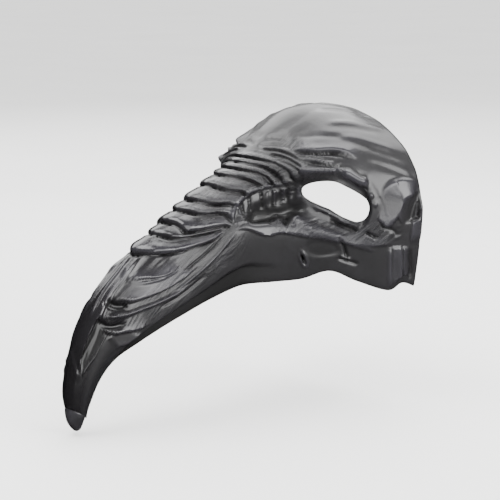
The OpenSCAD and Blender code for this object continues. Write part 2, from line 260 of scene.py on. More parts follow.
CHEEK = (
    (1.4, 1.6, ((5.25, 3.0), (5.12, 3.12), (4.92, 3.46), (4.7, 3.66), (4.16, 3.8), (3.6, 3.85))),
    (-2.6, 1.1, ((4.45, 3.38), (4.06, 3.54), (3.67, 3.62), (3.3, 3.62))),
    (-1.8, 0.9, ((3.08, 3.62), (2.79, 3.72), (2.52, 3.8))),
    (1.2, 1.0, ((4.7, 2.86), (4.5, 3.05), (4.25, 3.3), (4.0, 3.45), (3.6, 3.52), (3.2, 3.5))),
    (-1.0, 0.8, ((4.62, 3.05), (4.4, 3.25), (4.1, 3.42))),
    (-1.0, 1.0, ((2.6, 3.38), (2.3, 3.55), (1.9, 3.62), (1.5, 3.75))),
    (-0.8, 0.8, ((4.85, 3.2), (4.7, 3.4), (4.4, 3.6), (4.0, 3.72), (3.5, 3.76))),
    (-0.7, 0.8, ((5.0, 3.35), (4.85, 3.55), (4.5, 3.75))),
    (-1.8, 0.9, ((4.02, 3.84), (3.78, 4.0), (3.62, 4.28), (3.5, 4.48))),
    (1.2, 1.0, ((3.7, 3.98), (3.3, 4.0), (2.9, 4.04), (2.6, 4.12))),
    (-1.5, 1.1, ((3.85, 4.5), (3.53, 4.52), (3.1, 4.52))),
    (1.0, 0.9, ((3.8, 4.43), (3.53, 4.44), (3.35, 4.46))),
)
BRIDGE = (
    (1.6, 1.3, ((4.5, 1.8), (4.75, 1.96), (5.09, 2.03), (5.41, 2.06), (5.97, 2.18), (6.54, 2.46),
                (6.9, 2.8), (7.1, 3.2))),
    (2.0, 1.1, ((4.6, 2.08), (4.7, 2.25), (4.8, 2.45), (4.88, 2.66))),
    (1.8, 1.0, ((4.74, 2.1), (4.84, 2.26), (4.94, 2.46), (5.03, 2.74))),
    (2.2, 1.1, ((4.88, 2.08), (4.97, 2.25), (5.05, 2.45), (5.14, 2.78))),
    (1.8, 1.0, ((5.1, 2.12), (5.17, 2.3), (5.25, 2.55), (5.35, 2.88))),
    (1.1, 0.9, ((5.3, 2.14), (5.38, 2.35), (5.45, 2.6), (5.52, 2.95))),
    (-1.5, 0.8, ((5.5, 2.1), (5.55, 2.35), (5.62, 2.65), (5.7, 2.95))),
    (-1.3, 0.8, ((5.9, 2.25), (5.98, 2.5), (6.05, 2.8), (6.1, 3.05))),
    (-1.5, 0.8, ((6.25, 2.4), (6.33, 2.65), (6.4, 2.9), (6.45, 3.15))),
    (1.3, 0.8, ((6.5, 2.55), (6.56, 2.8), (6.62, 3.05))),
)
NOSTRIL = (
    (-4.6, 1.5, ((5.1, 3.02), (5.17, 3.25), (5.32, 3.5), (5.5, 3.68))),
    (2.2, 0.9, ((5.3, 3.02), (5.42, 3.2), (5.5, 3.42), (5.66, 3.6))),
    (2.0, 0.9, ((4.98, 3.1), (5.02, 3.3), (5.15, 3.55), (5.3, 3.75))),
    (1.0, 0.7, ((5.6, 3.3), (5.7, 3.5), (5.85, 3.7))),
    (-1.4, 0.9, ((5.75, 3.35), (5.8, 3.6), (5.95, 3.78))),
    (1.1, 0.9, ((6.55, 3.6), (6.8, 3.5), (7.05, 3.42))),
    (-1.8, 1.0, ((6.5, 3.5), (6.66, 3.46), (6.8, 3.4))),
    (1.2, 0.7, ((5.18, 4.36), (5.1, 4.33), (4.98, 4.42), (4.88, 4.56), (4.86, 4.68), (4.92, 4.7),
                (5.02, 4.62), (5.12, 4.48), (5.18, 4.36))),
    (-2.6, 0.8, ((5.08, 4.42), (5.0, 4.54), (4.92, 4.63))),
)
BEAK = (
    (1.0, 0.9, ((10.52, 1.3), (10.4, 1.75), (10.2, 2.25), (9.8, 2.72), (9.4, 2.98), (9.0, 3.12))),
    (-2.6, 1.9, ((11.22, 0.75), (11.3, 1.1), (11.25, 1.6), (11.1, 2.1), (10.9, 2.5))),
    (2.2, 1.0, ((11.55, 1.0), (11.62, 1.35), (11.5, 2.0), (11.24, 2.6), (10.9, 3.05), (10.25, 3.55),
                (9.5, 3.9), (8.8, 4.05))),
    (-2.2, 2.0, ((11.8, 1.1), (11.85, 1.6), (11.75, 2.3), (11.5, 2.9), (11.2, 3.3))),
    (0.7, 1.0, ((12.6, 0.0), (12.85, 0.05), (13.1, 0.45), (13.36, 1.1), (13.5, 2.0))),
    (1.2, 0.8, ((12.2, 1.6), (12.5, 1.65), (12.75, 1.5), (13.0, 1.4), (13.3, 1.5))),
    (1.1, 1.0, ((9.6, 0.0), (10.3, 0.2), (11.1, 0.25), (12.0, 0.5))),
    (-1.1, 0.8, ((9.2, 3.3), (8.6, 3.45), (8.0, 3.5), (7.5, 3.4))),
    (1.1, 0.8, ((9.9, 3.7), (9.2, 3.85), (8.4, 3.95), (7.6, 3.9), (7.0, 3.7))),
    (-0.9, 1.0, ((10.2, 3.9), (9.6, 4.1), (8.9, 4.2), (8.2, 4.2))),
)
STROKES = BROW + DOME + TEMPLE + CHEEK + BRIDGE + NOSTRIL + BEAK
# The deep hollow between the bridge and the cheek
TRENCHES = (
    (-3.2, 4.0, ((4.85, 2.46), (5.1, 2.58), (5.4, 2.73), (5.8, 2.93), (6.3, 3.07))),
    (-6.4, 4.0, ((4.78, 2.7), (5.02, 2.93), (5.34, 3.1), (5.81, 3.3), (6.26, 3.36), (6.75, 3.35))),
)
# Shelves: (millimetres high, width of the edge, fade behind the edge, points). A shelf is raised on the
# left of its direction.
SHELVES = (
    (3.0, 1.3, 9, ((3.8, 0.9), (3.57, 1.15), (3.3, 1.33), (2.85, 1.5), (2.6, 1.67), (2.3, 1.92))),
    (1.3, 3.5, 16, ((0.0, 2.72), (0.35, 2.62), (0.95, 2.58), (1.5, 2.62), (1.85, 2.75), (2.1, 2.95))),
    (1.6, 2.2, 10, ((2.65, 3.4), (2.1, 3.52), (1.6, 3.3), (0.95, 2.97), (0.1, 2.86))),
    (1.9, 0.9, 9, ((0.03, 2.9), (0.35, 3.1), (0.62, 3.4), (0.7, 3.7), (0.68, 3.95))),
    (2.2, 0.9, 8, ((7.4, 3.5), (7.0, 3.8), (6.5, 4.04), (6.1, 4.08), (5.64, 3.96), (5.0, 3.9),
                   (4.45, 3.9), (4.0, 3.94), (3.63, 3.96), (2.95, 3.96), (2.0, 3.95), (1.25, 3.92))),
    (2.0, 1.9, 8, ((13.0, 1.9), (12.24, 1.75), (11.65, 1.1), (11.1, 0.75), (10.5, 0.72), (9.95, 0.55),
                   (9.6, 0.5))),
    (1.6, 1.1, 7, ((10.62, 0.95), (10.43, 1.15), (10.33, 1.6), (10.05, 2.2), (9.76, 2.6), (9.45, 2.85),
                   (9.0, 3.02))),
    (2.4, 0.8, 9, ((11.15, 0.9), (11.1, 1.3), (11.0, 1.75), (10.8, 2.4), (10.43, 2.85), (9.78, 3.32),
                   (9.1, 3.58), (8.4, 3.7))),
    (1.8, 0.8, 6, ((12.0, 1.6), (11.92, 2.1), (11.7, 3.0), (11.42, 3.6), (10.95, 4.1), (10.5, 4.35))),
)
# The step along the beak's lower edge: millimetres deep, width of the step, points
LIP = (2.6, 0.8, ((13.9, 4.35), (13.4, 4.5), (12.8, 4.62), (12.1, 4.6), (11.4, 4.5), (10.8, 4.5), (10.4, 4.5),
                  (9.5, 4.55), (8.5, 4.6), (7.5, 4.62), (6.5, 4.66), (5.6, 4.7)))
# The oval hollow on the cheek: middle and radii in stations and columns, depth in millimetres, and the
# share of the radii that its edge takes
DISH_MIDDLE = (4.4, 4.24)
DISH_RADII = (0.72, 0.3)
DISH_DEEP = 0.6
DISH_EDGE = 0.4
# Tool marks: millimetres high, length, spacing, seed, and the patch that they cover
MARKS = (
    (0.4, 9, 2.2, 7.7, (3.0, 4.7, 0.2, 1.9, 0.6, 0.5)),
    (0.6, 14, 1.5, 3.1, (1.2, 5.4, 3.4, 4.0)),
    (0.12, 9, 2.2, 7.7, (4.3, 10.0, -1, 3.2, 0.5, 0.3)),
    (0.3, 14, 1.5, 3.1, (7.0, 12.0, 3.0, 4.5, 1.0, 0.4)),
    (0.6, 40, 9, 1.3, (-1, 3.4, 0.1, 2.6, 0.6, 0.5)),
)
# Lumps round the nostril, over the facets
LUMPS = (0.4, 6, 4, 9.2, (5.3, 7.1, 3.0, 3.8))
# A facet moves the skin this far at most, and keeps this share of the carving under it
FACET_REACH = 4
FACET_KEEPS = 0.2
# Millimetres over which a facet's edge blends in, and the least slope that it is measured along
FACET_EDGE = 1.6
FACET_SLOPE = 0.3
# Strokes: step along the line in millimetres, share of the length that tapers at each end, and how
# many widths or fades the stroke reaches
SAMPLE_STEP = 0.6
TAPER = 0.22
REACH = 3.2
FADE_REACH = 2.6


def stroke_line(points):
    """The stroke's points joined by a smooth curve on the skin, at even steps, in millimetres."""
    p = np.array(points, float)
    q = np.concatenate([2 * p[:1] - p[1:2], p, 2 * p[-1:] - p[-2:-1]])
    n = len(p) - 1
    t = np.linspace(0, n, n * 16 + 1)
    i = np.minimum(np.floor(t).astype(int), n - 1)
    sc = catmull(q[i], q[i + 1], q[i + 2], q[i + 3], (t - i)[:, None])
    sc = np.column_stack([np.clip(sc[:, 0], 0, LAST_STATION), np.clip(sc[:, 1], 0, LAST_COLUMN)])
    line = skin(sc[:, 0], sc[:, 1])
    run = np.concatenate([[0], np.cumsum(np.linalg.norm(np.diff(line, axis=0), axis=1))])
    even = np.linspace(0, run[-1], max(3, int(run[-1] / SAMPLE_STEP)))
    return np.column_stack([np.interp(even, run, line[:, k]) for k in range(3)])


def beside(points, reach, places, normals):
    """The places near a stroke: their indices, how far they are from its line and how far to its left,
    whether they lie past its ends, and a taper towards the ends."""
    line = stroke_line(points)
    near = np.all((places > line.min(0) - reach) & (places < line.max(0) + reach), axis=1)
    index = np.nonzero(near)[0]
    k = np.argmin((line**2).sum(1) - 2 * places[index] @ line.T, axis=1)
    ahead = np.gradient(line, axis=0)
    ahead /= np.linalg.norm(ahead, axis=1, keepdims=True)
    way = places[index] - line[k]
    run = (way * ahead[k]).sum(1)
    beyond = ((k == 0) & (run < 0)) | ((k == len(line) - 1) & (run > 0))
    across = np.where(beyond[:, None], way, way - run[:, None] * ahead[k])
    at = k / (len(line) - 1)
    taper = smooth(at / TAPER) * smooth((1 - at) / TAPER)
    distance = np.linalg.norm(across, axis=1)
    left = np.sign((np.cross(ahead[k], way) * normals[index]).sum(1)) * distance
    return index, distance, left, beyond, taper


def stroke_height(stroke, places, normals):
    """Height that one ridge, groove or trench adds along the normal at each place."""
    high, wide, points = stroke
    index, distance, _, _, taper = beside(points, REACH * wide, places, normals)
    out = np.zeros(len(places))
    out[index] = high * np.exp(-(distance / wide) ** 2) * taper
    return out


def shelf_height(shelf, places, normals):
    """Height of a shelf, steep at its edge and fading behind it."""
    high, wide, fade, points = shelf
    reach = max(REACH * wide, FADE_REACH * fade)
    index, distance, left, beyond, taper = beside(points, reach, places, normals)
    h = np.where(left > 0, np.exp(-np.abs(left) / fade), smooth(1 + left / wide))
    out = np.zeros(len(places))
    out[index] = high * np.where(beyond, np.exp(-distance / wide), h) * taper
    return out


def lip_height(lip, places, normals):
    """Drop on the right of the lip's line."""
    deep, wide, points = lip
    index, _, left, beyond, taper = beside(points, REACH * wide, places, normals)
    out = np.zeros(len(places))
    out[index] = -deep * smooth(0.3 - 0.7 * left / wide) * ~beyond * taper
    return out


def plate_height(s, c):
    """The bridge's overlapping plates: rounded pillows with a thin gap at each seam."""
    rounded = np.sqrt(c * c + 0.09) - 0.3 * np.exp(-c)
    seams = np.array([np.interp(rounded, PLATE_COLUMNS, seam) for seam, _ in PLATE_SEAMS])
    h = np.zeros(len(s))
    for k in range(1, len(seams)):
        to_front = (seams[k] - s) * STATION_MM
        to_back = (s - seams[k - 1]) * STATION_MM
        f = to_back / np.maximum(to_back + to_front, 0.5)
        rise = PLATE_START + (1 - PLATE_START) * smooth(f * 1.25)
        drop = 1 - np.exp(-(np.maximum(to_front, 0) / PLATE_ROUND[0]) ** PLATE_ROUND[1])
        pillow = PLATE_SCALE * PLATE_SEAMS[k][1] * rise * drop
        h = np.where((to_front > 0) & (to_back >= 0), pillow, h)
    for k, (seam, (_, high)) in enumerate(zip(seams, PLATE_SEAMS)):
        if high > LOW_PLATE:
            # The gap opens and closes along each seam
            gap = PLATE_GAP * np.clip(0.65 + 0.5 * np.sin(3.7 * c + 2.9 * k + 0.6), 0.3, 1)
            h -= gap * np.exp(-((s - seam) * STATION_MM / PLATE_GAP_WIDE) ** 2)
    shown = smooth((np.interp(s, CORNER_STATIONS, CORNER_COLUMNS) - c) / 0.14 + 0.6)
    return h * shown * smooth((s - 4.45 + 0.6 * np.minimum(c, 1)) / 0.5)


def facet_height(facet, places, normals, s, c):
    """Height from the skin to a flat facet, and how far inside the facet each place is."""
    corners = np.array(facet, float)
    on_skin = skin(corners[:, 0], corners[:, 1]) + corners[:, 2:] * skin_normals(corners[:, 0], corners[:, 1])
    middle = on_skin.mean(0)
    way = np.linalg.svd(on_skin - middle)[2][2]
    slope = normals @ way
    slope = np.where(np.abs(slope) < FACET_SLOPE, np.sign(slope + 1e-9) * FACET_SLOPE, slope)
    height = (middle - places) @ way / slope
    flat = np.column_stack([s * STATION_MM, c * COLUMN_MM])
    rim = corners[:, :2] * (STATION_MM, COLUMN_MM)
    inside = np.full(len(s), 1e9)
    around = np.sign(np.cross(rim[1] - rim[0], rim[2] - rim[1]))
    for a, b in zip(rim, np.roll(rim, -1, axis=0)):
        d = around * ((b - a)[0] * (flat - a)[:, 1] - (b - a)[1] * (flat - a)[:, 0])
        inside = np.minimum(inside, d / np.linalg.norm(b - a))
    return np.clip(height, -FACET_REACH, FACET_REACH), smooth(inside / FACET_EDGE + 0.3)


def fibre(flow, long, apart, seed):
    """Noise drawn out along the surface's flow, from -1 to 1."""
    return np.array([noise.noise(Vector((u / long + seed, v / apart, seed * 0.37))) for u, v, _ in flow])


def region(s, c, s0, s1, c0, c1, soft_s=0.3, soft_c=0.2):
    """1 inside a patch of stations and columns, fading out round it."""
    return (smooth((s - s0) / soft_s) * smooth((s1 - s) / soft_s)
            * smooth((c - c0) / soft_c) * smooth((c1 - c) / soft_c))


def marks_height(marks, s, c, flow):
    high, long, apart, seed, patch = marks
    return high * fibre(flow, long, apart, seed) * region(s, c, *patch)


def sculpt(s, c, places, normals, flow, plates_high):
    """Fine and deep heights along the normal, in millimetres."""
    fine = plates_high * plate_height(s, c)
    for stroke in STROKES:
        fine += stroke_height(stroke, places, normals)
    for shelf in SHELVES:
        fine += shelf_height(shelf, places, normals)
    fine += lip_height(LIP, places, normals)
    from_dish = np.hypot((s - DISH_MIDDLE[0]) / DISH_RADII[0], (c - DISH_MIDDLE[1]) / DISH_RADII[1])
    fine -= DISH_DEEP * smooth((1 - from_dish) / DISH_EDGE)
    for marks in MARKS:
        fine += marks_height(marks, s, c, flow)
    for facet in FACETS:
        height, inside = facet_height(facet, places, normals, s, c)
        fine = fine * (1 - (1 - FACET_KEEPS) * inside) + height * inside
    fine += marks_height(LUMPS, s, c, flow)
    deep = sum(stroke_height(trench, places, normals) for trench in TRENCHES)
    return fine, deep


# ---------------- small tools

def net_places(points, station_steps, column_steps):
    """The station and column of points on a flat grid that spans -1 to 1 both ways."""
    unit = (np.array([p[:2] for p in points]) + 1) / 2
    s = np.interp(unit[:, 0] * (len(station_steps) - 1), np.arange(len(station_steps)), station_steps)
    c = np.interp(unit[:, 1] * (len(column_steps) - 1), np.arange(len(column_steps)), column_steps)
    return s, c


def steps(breaks, counts):
    """Even steps between each pair of breaks, in one list."""
    parts = [np.linspace(a, b, n, endpoint=False) for a, b, n in zip(breaks, breaks[1:], counts)]
    return np.concatenate(parts + [breaks[-1:]])


def verts_in(geom):
    return [g for g in geom if isinstance(g, bmesh.types.BMVert)]


def face_outwards(bm):
    bmesh.ops.recalc_face_normals(bm, faces=bm.faces[:])


def new_object(name, data):
    made = bpy.data.objects.new(name, data)
    bpy.context.scene.collection.objects.link(made)
    return made


def as_object(bm, name, material, crease=40):
    """Turns a bmesh in metres into a smooth-shaded object at the origin."""
    mesh = bpy.data.meshes.new(name)
    bm.to_mesh(mesh)
    bm.free()
    mesh.shade_smooth()
    mesh.set_sharp_from_angle(angle=math.radians(crease))
    piece = new_object(name, mesh)
    piece.data.materials.append(material)
    return piece


def apply_modifiers(piece):
    bpy.context.view_layer.update()
    depsgraph = bpy.context.evaluated_depsgraph_get()
    made = bpy.data.meshes.new_from_object(piece.evaluated_get(depsgraph), depsgraph=depsgraph)
    old = piece.data
    piece.modifiers.clear()
    piece.data = made
    made.name = piece.name
    bpy.data.meshes.remove(old)
    return piece


def stand_in(piece, body, slot, *nodes):
    """The piece rides on a body and stands for CAD nodes, which it hides; the slot is not used."""
    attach(piece, body)
    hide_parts(*nodes)
    return piece


def smooth_rows(rows, count):
    """Rows of numbers joined by smooth curves, at count even steps."""
    p = np.array(rows, float)
    q = np.concatenate([2 * p[:1] - p[1:2], p, 2 * p[-1:] - p[-2:-1]])
    t = np.linspace(0, len(p) - 1, count)
    i = np.minimum(np.floor(t).astype(int), len(p) - 2)
    return catmull(q[i], q[i + 1], q[i + 2], q[i + 3], (t - i)[:, None])


def linear(colour):
    """An sRGB hex colour as linear RGBA."""
    parts = [int(colour[i:i + 2], 16) / 255 for i in (1, 3, 5)]
    return tuple(p / 12.92 if p <= 0.04045 else ((p + 0.055) / 1.055) ** 2.4 for p in parts) + (1.0,)


def as_hex(colour):
    """A colour property as an sRGB hex value."""
    return "#" + "".join(f"{round(max(0, min(1, v)) * 255):02x}" for v in colour[:3])


def fill(material, node, inputs):
    """Sets a node's inputs from values, or links them from other nodes' outputs."""
    for key, value in inputs.items():
        if isinstance(value, bpy.types.NodeSocket):
            material.node_tree.links.new(value, node.inputs[key])
        else:
            node.inputs[key].default_value = value


def add_node(material, kind, inputs, **settings):
    node = material.node_tree.nodes.new("ShaderNode" + kind)
    for key, value in settings.items():
        setattr(node, key, value)
    fill(material, node, inputs)
    return node


def new_material(name):
    material = bpy.data.materials.new(name)
    material.use_nodes = True
    return material


def dress(material, inputs):
    """Sets or links the inputs of the material's Principled shader."""
    fill(material, material.node_tree.nodes["Principled BSDF"], inputs)
    return material


def own_places(material):
    return add_node(material, "TexCoord", {}).outputs["Object"]


def attribute(material, name, output="Fac"):
    return add_node(material, "Attribute", {}, attribute_name=name).outputs[output]


def cloudy(material, across, detail, roughness=0.5):
    """Noise whose patches are some millimetres across."""
    return add_node(material, "TexNoise", {"Vector": own_places(material), "Scale": 1 / (across * MM),
                                           "Detail": detail, "Roughness": roughness}).outputs["Fac"]


def bumpy(material, height, strength, deep, under=None):
    """Normals bent by a height that is some millimetres deep, over the normals under it."""
    inputs = {"Height": height, "Strength": strength, "Distance": deep * MM}
    if under:
        inputs["Normal"] = under
    return add_node(material, "Bump", inputs).outputs["Normal"]


def times_plus(material, value, factor, extra):
    """The value times a factor, plus something extra."""
    return add_node(material, "Math", {0: value, 1: factor, 2: extra}, operation="MULTIPLY_ADD").outputs[0]


def spread(material, value, low, high, start=0, end=1):
    """Takes the value from one range to another."""
    return add_node(material, "MapRange", {"Value": value, "From Min": start, "From Max": end,
                                           "To Min": low, "To Max": high}).outputs["Result"]


def ramp(material, value, *stops):
    """A colour from a value, with stops of (position, hex colour)."""
    node = add_node(material, "ValToRGB", {"Fac": value})
    elements = node.color_ramp.elements
    while len(elements) < len(stops):
        elements.new(0.5)
    for element, (place, colour) in zip(elements, stops):
        element.position = place
        element.color = linear(colour)
    return node.outputs["Color"]


# ---------------- finishes

def moulded_pvc(name, raised):
    """Slush-moulded black PVC, cast from a carved master: satin, with painted shade in the hollows and
    glossier rubbed ridges.
    """
    sizes = bpy.context.scene.bird_mask
    hollow_shade, black, worn = as_hex(sizes.hollow_shade), as_hex(sizes.black), as_hex(sizes.worn)
    material = new_material(name)
    # Cloudy patches about 12 mm across, where the release agent dried unevenly
    clouds = cloudy(material, 12, 4, 0.6)
    # Skin pores of about 0.5 mm left by the mould's surface
    pores = cloudy(material, 0.5, 3, 0.6)
    # Shallow dents about 3 mm across that break up the highlights
    dents = cloudy(material, 3, 3, 0.55)
    if raised:
        # Tool strokes 1.4 mm apart and some 15 mm long that follow the carving
        flow = attribute(material, "flow", "Vector")
        strokes = add_node(material, "Mapping", {"Vector": flow, "Scale": (0.07, 0.7, 1)})
        grain = add_node(material, "TexNoise", {"Vector": strokes.outputs["Vector"], "Scale": 1,
                                                "Detail": 5, "Roughness": 0.62, "Distortion": 0.5})
        # The carving's heights, mixed with random clouds, set the colour: painted shade in the hollows,
        # lighter on ridges
        mixed = times_plus(material, clouds, 0.25, attribute(material, "raised"))
        # The beak's end and the plates are shinier, and painted shade makes them blacker
        shine_and_shade = attribute(material, "shine_and_shade")
        shade = times_plus(material, shine_and_shade, -0.24, mixed)
        # Painted shade in the hollows, the PVC's black, and lighter ridges
        tone = ramp(material, shade, (0.2, hollow_shade), (0.62, black), (0.95, worn))
        matt = spread(material, mixed, 0.62, 0.3, 0.1, 0.95)
        rough = times_plus(material, shine_and_shade, -0.16, matt)
        carved = bumpy(material, grain.outputs["Fac"], attribute(material, "grained"), 2.2)
    else:
        tone = ramp(material, clouds, (0.3, black), (0.8, worn))
        rough = spread(material, clouds, 0.4, 0.3)
        carved = None
    dented = bumpy(material, dents, 0.25, 0.4, carved)
    return dress(material, {
        "Base Color": tone, "Roughness": rough, "Normal": bumpy(material, pores, 0.22, 0.08, dented),
        "IOR": 1.54, "Coat Weight": sizes.gloss, "Coat Roughness": 0.16, "Coat IOR": 1.5})


def laminated_foam():
    """Black EVA foam faced with brushed nylon tricot: matt, soft-edged, with a fine nap."""
    material = new_material("laminated_foam")
    # Foam cells of about 1.2 mm that show through the facing, drawn a little coarse
    cells = add_node(material, "TexVoronoi", {"Vector": own_places(material), "Scale": 1 / (1.2 * MM)})
    nap = cloudy(material, 0.4, 4)
    soft = bumpy(material, cells.outputs["Distance"], 0.6, 0.3)
    return dress(material, {
        "Base Color": ramp(material, nap, (0.3, "#161617"), (0.75, "#2c2c2f")),
        "Normal": bumpy(material, nap, 0.5, 0.1, soft),
        "Roughness": 0.95, "IOR": 1.5, "Sheen Weight": 0.08, "Sheen Roughness": 0.5})


def braided_elastic():
    """Black braided polyester elastic: ribs along its length crossed by close picks."""
    material = new_material("braided_elastic")
    flow = attribute(material, "flow", "Vector")
    # Picks 0.9 mm apart across the band, and yarns 1.4 mm apart along it
    waves = [add_node(material, "TexWave", {"Vector": flow, "Scale": 0.314 / apart, "Detail": 1,
                                            "Distortion": bend}, bands_direction=way).outputs["Fac"]
             for way, apart, bend in (("X", 0.9, 0.6), ("Y", 1.4, 0.3))]
    weave = add_node(material, "Math", {0: waves[0], 1: waves[1]}, operation="MULTIPLY").outputs[0]
    return dress(material, {
        "Base Color": ramp(material, weave, (0.05, "#0e0e10"), (0.7, "#29292c")),
        "Normal": bumpy(material, weave, 0.9, 0.4),
        "Roughness": 0.78, "IOR": 1.52, "Sheen Weight": 0.08, "Sheen Roughness": 0.4})


def moulded_nylon():
    """Injection-moulded black nylon 6: even and semi-matt from a lightly etched tool."""
    material = new_material("moulded_nylon")
    # Etched texture of about 0.3 mm
    etch = cloudy(material, 0.3, 2)
    cloud = cloudy(material, 4, 3)
    return dress(material, {
        "Base Color": ramp(material, cloud, (0.3, "#131315"), (0.8, "#202023")),
        "Roughness": spread(material, cloud, 0.42, 0.56),
        "Normal": bumpy(material, etch, 0.3, 0.08), "IOR": 1.53})


def plated_metal(name, dull, bright, rough_low, rough_high):
    """Barrel-plated metal: slightly cloudy, with fine tumbling marks."""
    material = new_material(name)
    cloud = cloudy(material, 2.5, 4)
    # Tumbling marks of about 0.15 mm
    marks = cloudy(material, 0.15, 2)
    return dress(material, {
        "Base Color": ramp(material, cloud, (0.3, dull), (0.7, bright)), "Metallic": 1,
        "Roughness": spread(material, cloud, rough_low, rough_high),
        "Normal": bumpy(material, marks, 0.12, 0.03)})


# ---------------- the moulded shell

STATION_BREAKS = np.array([0, 3.25, 4.75, 10, BEAK_END])
STATION_COUNTS = (66, 44, 132, 70)
COLUMN_BREAKS = np.array([0, 2.25, 3.5, 5])
COLUMN_COUNTS = (60, 44, 44)
SHELL_TRIANGLES = 190000
# Cuts deeper than this push the inner skin in with them
CUT_ALLOWED = 0.9
# How fast the colour goes from painted shade in the hollows to lighter ridges, and how much of the trenches'
# depth it counts
RAISED_PER_MM = 0.16
DEEP_RAISED = 0.6
LINING_RAISED = 0.45
# Where the tool strokes show, and where the plates are shinier and darkened by painted shade: share, and
# patch
GRAINED = (
    (1, (2.0, 6.0, 3.3, 4.05)),
    (1, (3.0, 8.0, 0.2, 2.4, 0.6, 0.4)),
    (0.6, (6.5, 11.5, 2.6, 4.6, 1.0, 0.4)),
)
SHINE_AND_SHADE = (0.6, (4.3, 10.5, -1, 2.6, 0.5, 0.4))
# Drop and reach of the rounding along the lower edge, in millimetres and columns, and at the rear, in
# millimetres and stations
LOWER_EDGE = (0.7, 0.035)
REAR_EDGE = (0.5, 0.05)
# Stations and columns round the eye that are eased after the carving
ORBIT_STATIONS = (2.3, 4.9)
ORBIT_COLUMNS = (2.05, 3.1)
REAR_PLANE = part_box("mask_shell")[1].y / MM


def flow_map(s, c):
    """Millimetres run along the beak and round it, for grain that follows the surface."""
    line_s = np.linspace(0, BEAK_END, 200)
    run_line = skin(line_s, np.full(200, 2.5), 0)
    run = np.concatenate([[0], np.cumsum(np.linalg.norm(np.diff(run_line, axis=0), axis=1))])
    side = np.linalg.norm(skin(line_s, np.full(200, 4.0), 0) - skin(line_s, np.full(200, 1.0), 0), axis=1)
    girth = np.interp(s, line_s, side) / 3
    return np.column_stack([np.interp(s, line_s, run), c * girth, np.zeros(len(s))])


def shell_half(bm, sizes):
    """The sculpted outer skin on the wearer's left, with the inner skin's places, the heights for the painted
    shade and the finish's areas kept on its points."""
    station_steps = steps(STATION_BREAKS, STATION_COUNTS)
    column_steps = steps(COLUMN_BREAKS, COLUMN_COUNTS)
    bmesh.ops.create_grid(bm, x_segments=len(station_steps) - 1, y_segments=len(column_steps) - 1, size=1)
    s, c = net_places([f.calc_center_median() for f in bm.faces], station_steps, column_steps)
    in_eye = (np.abs(s - EYE_MIDDLE[0]) < EYE_HALF[0]) & (np.abs(c - EYE_MIDDLE[1]) < EYE_HALF[1])
    bmesh.ops.delete(bm, geom=[f for f, hole in zip(bm.faces, in_eye) if hole], context="FACES")
    s, c = eye_warp(*net_places([v.co for v in bm.verts], station_steps, column_steps))
    base = skin(s, c)
    normals = skin_normals(s, c)
    flow = flow_map(s, c)
    fine, deep = sculpt(s, c, base, normals, flow, sizes.plates)
    fine -= LOWER_EDGE[0] * np.exp((c - LAST_COLUMN) / LOWER_EDGE[1])
    fine -= REAR_EDGE[0] * np.exp(-s / REAR_EDGE[1])
    outer = base + (fine + deep)[:, None] * normals
    outer[:, 1] = np.minimum(outer[:, 1], REAR_PLANE)
    outer[:, 0] = np.where(c < 1e-6, 0, np.maximum(outer[:, 0], 0))
    sunk = np.maximum(0, -(fine + deep) - CUT_ALLOWED)
    inner = base - (sizes.wall + sunk)[:, None] * normals
    inner[:, 1] = np.where(s < 1e-6, REAR_PLANE, np.minimum(inner[:, 1], REAR_PLANE))
    inner[:, 0] = np.where(c < 1e-6, 0, inner[:, 0])
    # Heights from 0 to 1 that put painted shade in the hollows and lighter colour on the ridges
    raised = np.clip(0.5 + RAISED_PER_MM * (fine + DEEP_RAISED * deep), 0, 1)
    grained = np.clip(sum(share * region(s, c, *patch) for share, patch in GRAINED), 0, 1)
    # The beak's end is shinier and darkened by painted shade, less so towards the lower edge
    beak_end = smooth((s - 10.2) / 1.4) * (1 - 0.65 * smooth((c - 2.5) / 1.2))
    shine_and_shade = np.maximum(SHINE_AND_SHADE[0] * region(s, c, *SHINE_AND_SHADE[1]), beak_end)
    vectors = {"inside": inner * MM, "flow": flow}
    numbers = {"raised": raised, "grained": grained, "shine_and_shade": shine_and_shade}
    for name in vectors:
        bm.verts.layers.float_vector.new(name)
    for name in (*numbers, "lining"):
        bm.verts.layers.float.new(name)
    for v, place in zip(bm.verts, outer * MM):
        v.co = place
    for layers, values in ((bm.verts.layers.float_vector, vectors), (bm.verts.layers.float, numbers)):
        for name, column in values.items():
            layer = layers[name]
            for v, value in zip(bm.verts, column):
                v[layer] = value
    in_orbit = ((ORBIT_STATIONS[0] < s) & (s < ORBIT_STATIONS[1])
                & (ORBIT_COLUMNS[0] < c) & (c < ORBIT_COLUMNS[1]))
    orbit = [v for v, inside in zip(bm.verts, in_orbit) if inside]
    for _ in range(2):
        bmesh.ops.smooth_vert(bm, verts=orbit, factor=0.5, use_axis_x=True, use_axis_y=True, use_axis_z=True)


